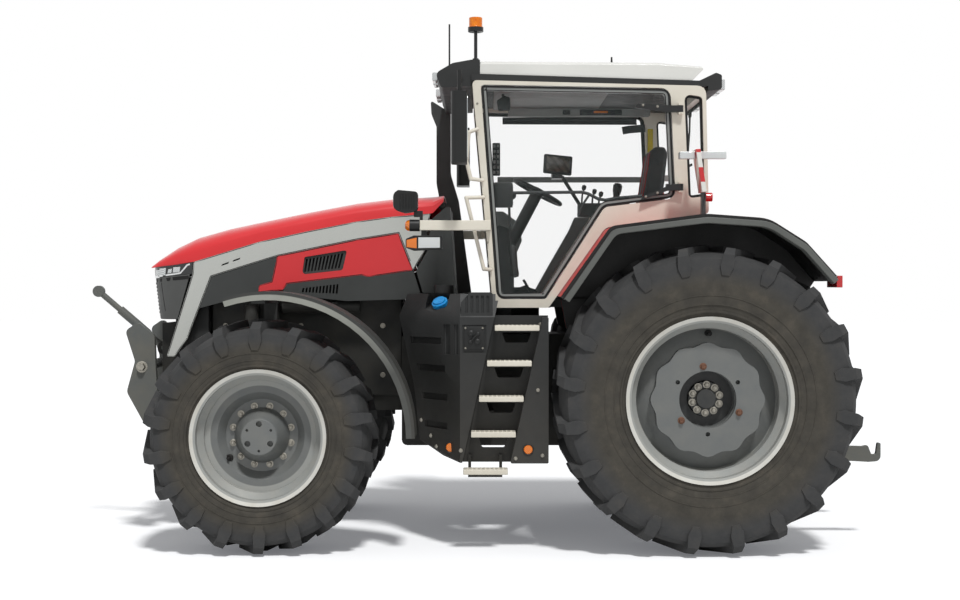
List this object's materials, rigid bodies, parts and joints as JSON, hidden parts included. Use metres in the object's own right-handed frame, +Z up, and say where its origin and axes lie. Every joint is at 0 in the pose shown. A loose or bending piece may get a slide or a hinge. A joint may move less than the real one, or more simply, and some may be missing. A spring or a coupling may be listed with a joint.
{
  "type": "farm tractor",
  "caption": "Large four-wheel-drive farm tractor with a cab, lifting bonnet, steered front wheels, side door, and front and rear linkage.",
  "frame": {"origin": "middle of the footprint box, on the ground", "axes": "+Z up, the front of the tractor towards -X, its left side towards -Y"},
  "size_m": [5.7579, 2.61, 3.6675],
  "materials": {
    "cast_driveline": "painted casting",
    "linkage_steel": "worn satin paint",
    "moulded_black": "grained",
    "panel_grey": "grained",
    "cab_cream": "satin",
    "roof_white": "gloss",
    "glazing": "clear",
    "lamp_lens": "clear",
    "amber_lens": "gloss",
    "red_lens": "gloss",
    "cap_plastic": "gloss",
    "seat_cloth": "woven",
    "red_paint": "gloss",
    "silver_paint": "metallic gloss",
    "wheel_paint": "satin",
    "tyre_rubber": "dusty"
  },
  "bodies": {
    "chassis": {"engine_block": "cast_driveline", "radiator": "moulded_black", "front_frame": "cast_driveline", "front_axle": "cast_driveline", "transmission": "cast_driveline", "cowl": "panel_grey", "cab_floor": "panel_grey", "cab_frame": "cab_cream", "cab_glass": "glazing", "roof_base": "moulded_black", "cab_roof": "roof_white", "work_lamps": "lamp_lens", "beacon": "amber_lens", "mirrors": "moulded_black", "exhaust_stack": "panel_grey", "seat_cushions": "seat_cloth", "seat_base": "moulded_black", "steering_column": "moulded_black", "armrest": "moulded_black", "rear_fenders": "red_paint", "fender_flares": "panel_grey", "tail_lamps": "red_lens", "fuel_tanks": "moulded_black", "filler_caps": "cap_plastic", "step_frame": "moulded_black", "step_treads": "cab_cream", "hand_rails": "cab_cream", "lamp_arms": "cab_cream", "arm_lamps": "moulded_black", "warning_boards": "roof_white", "tow_hitch": "cast_driveline"},
    "bonnet": {"bonnet_shell": "red_paint", "bonnet_blades": "silver_paint", "bonnet_side_panels": "red_paint", "bonnet_vent_panels": "panel_grey", "bonnet_hinges": "linkage_steel", "nose_grille": "panel_grey", "headlamps": "lamp_lens"},
    "knuckle_left": {"knuckle_left": "cast_driveline"},
    "knuckle_right": {"knuckle_right": "cast_driveline"},
    "front_fender_left": {"front_fender_left": "moulded_black"},
    "front_fender_right": {"front_fender_right": "moulded_black"},
    "front_wheel_left": {"front_rim_left": "wheel_paint", "front_tyre_left": "tyre_rubber"},
    "front_wheel_right": {"front_rim_right": "wheel_paint", "front_tyre_right": "tyre_rubber"},
    "rear_wheel_left": {"rear_rim_left": "wheel_paint", "rear_tyre_left": "tyre_rubber"},
    "rear_wheel_right": {"rear_rim_right": "wheel_paint", "rear_tyre_right": "tyre_rubber"},
    "door": {"door_frame": "panel_grey", "door_glass": "glazing"},
    "rear_window": {"rear_window": "glazing"},
    "front_lift": {"front_lift_arms": "linkage_steel"},
    "front_top_link": {"front_top_link": "linkage_steel"},
    "rear_lower_links": {"rear_lower_links": "linkage_steel"},
    "rear_lift_arms": {"rear_lift_arms": "linkage_steel"},
    "rear_lift_rods": {"rear_lift_rods": "linkage_steel"}
  },
  "joints": [
    {"name": "steer_left", "type": "hinge", "parent": "chassis", "child": "knuckle_left", "pos_m": [-1.467, -0.72, 0.79], "axis": [0, 0, 1], "range_deg": [-30, 30]},
    {"name": "steer_right", "type": "hinge", "parent": "chassis", "child": "knuckle_right", "pos_m": [-1.467, 0.72, 0.79], "axis": [0, 0, 1], "range_deg": [-30, 30]},
    {"name": "fender_pivot_left", "type": "hinge", "parent": "knuckle_left", "child": "front_fender_left", "pos_m": [-1.467, -0.72, 1], "axis": [0, 0, 1], "range_deg": [-22.5, 22.5]},
    {"name": "fender_pivot_right", "type": "hinge", "parent": "knuckle_right", "child": "front_fender_right", "pos_m": [-1.467, 0.72, 1], "axis": [0, 0, 1], "range_deg": [-22.5, 22.5]},
    {"name": "front_wheel_left_spin", "type": "hinge", "parent": "knuckle_left", "child": "front_wheel_left", "pos_m": [-1.467, -0.98, 0.79], "axis": [0, 1, 0], "continuous": true},
    {"name": "front_wheel_right_spin", "type": "hinge", "parent": "knuckle_right", "child": "front_wheel_right", "pos_m": [-1.467, 0.98, 0.79], "axis": [0, 1, 0], "continuous": true},
    {"name": "rear_wheel_left_spin", "type": "hinge", "parent": "chassis", "child": "rear_wheel_left", "pos_m": [1.533, -0.98, 1.04], "axis": [0, 1, 0], "continuous": true},
    {"name": "rear_wheel_right_spin", "type": "hinge", "parent": "chassis", "child": "rear_wheel_right", "pos_m": [1.533, 0.98, 1.04], "axis": [0, 1, 0], "continuous": true},
    {"name": "bonnet_hinge", "type": "hinge", "parent": "chassis", "child": "bonnet", "pos_m": [-0.262, 0, 2.39], "axis": [0, 1, 0], "range_deg": [0, 50]},
    {"name": "door_hinge", "type": "hinge", "parent": "chassis", "child": "door", "pos_m": [1.392, -0.866, 2.75], "axis": [0, 0, 1], "range_deg": [0, 80]},
    {"name": "rear_window_hinge", "type": "hinge", "parent": "chassis", "child": "rear_window", "pos_m": [1.579, 0, 3.148], "axis": [0, -1, 0], "range_deg": [0, 60]},
    {"name": "front_lift_hinge", "type": "hinge", "parent": "chassis", "child": "front_lift", "pos_m": [-2.337, 0, 0.85], "axis": [0, -1, 0], "range_deg": [0, 80]},
    {"name": "front_top_link_hinge", "type": "hinge", "parent": "chassis", "child": "front_top_link", "pos_m": [-2.347, 0, 1.34], "axis": [0, -1, 0], "range_deg": [0, 40]},
    {"name": "rear_lower_links_hinge", "type": "hinge", "parent": "chassis", "child": "rear_lower_links", "pos_m": [1.723, 0, 0.62], "axis": [0, -1, 0], "range_deg": [-15, 25]},
    {"name": "rear_lift_arms_hinge", "type": "hinge", "parent": "chassis", "child": "rear_lift_arms", "pos_m": [1.723, 0, 1.29], "axis": [0, -1, 0], "range_deg": [-15, 25]},
    {"name": "rear_lift_rods_hinge", "type": "hinge", "parent": "rear_lift_arms", "child": "rear_lift_rods", "pos_m": [2.163, 0, 1.29], "axis": [0, -1, 0], "range_deg": [-25, 15]}
  ],
  "couplings": [
    {"joint": "steer_right", "follows": "steer_left", "ratio": 1},
    {"joint": "fender_pivot_left", "follows": "steer_left", "ratio": -0.75},
    {"joint": "fender_pivot_right", "follows": "steer_left", "ratio": -0.75},
    {"joint": "rear_lift_arms_hinge", "follows": "rear_lower_links_hinge", "ratio": 1},
    {"joint": "rear_lift_rods_hinge", "follows": "rear_lower_links_hinge", "ratio": -1}
  ]
}
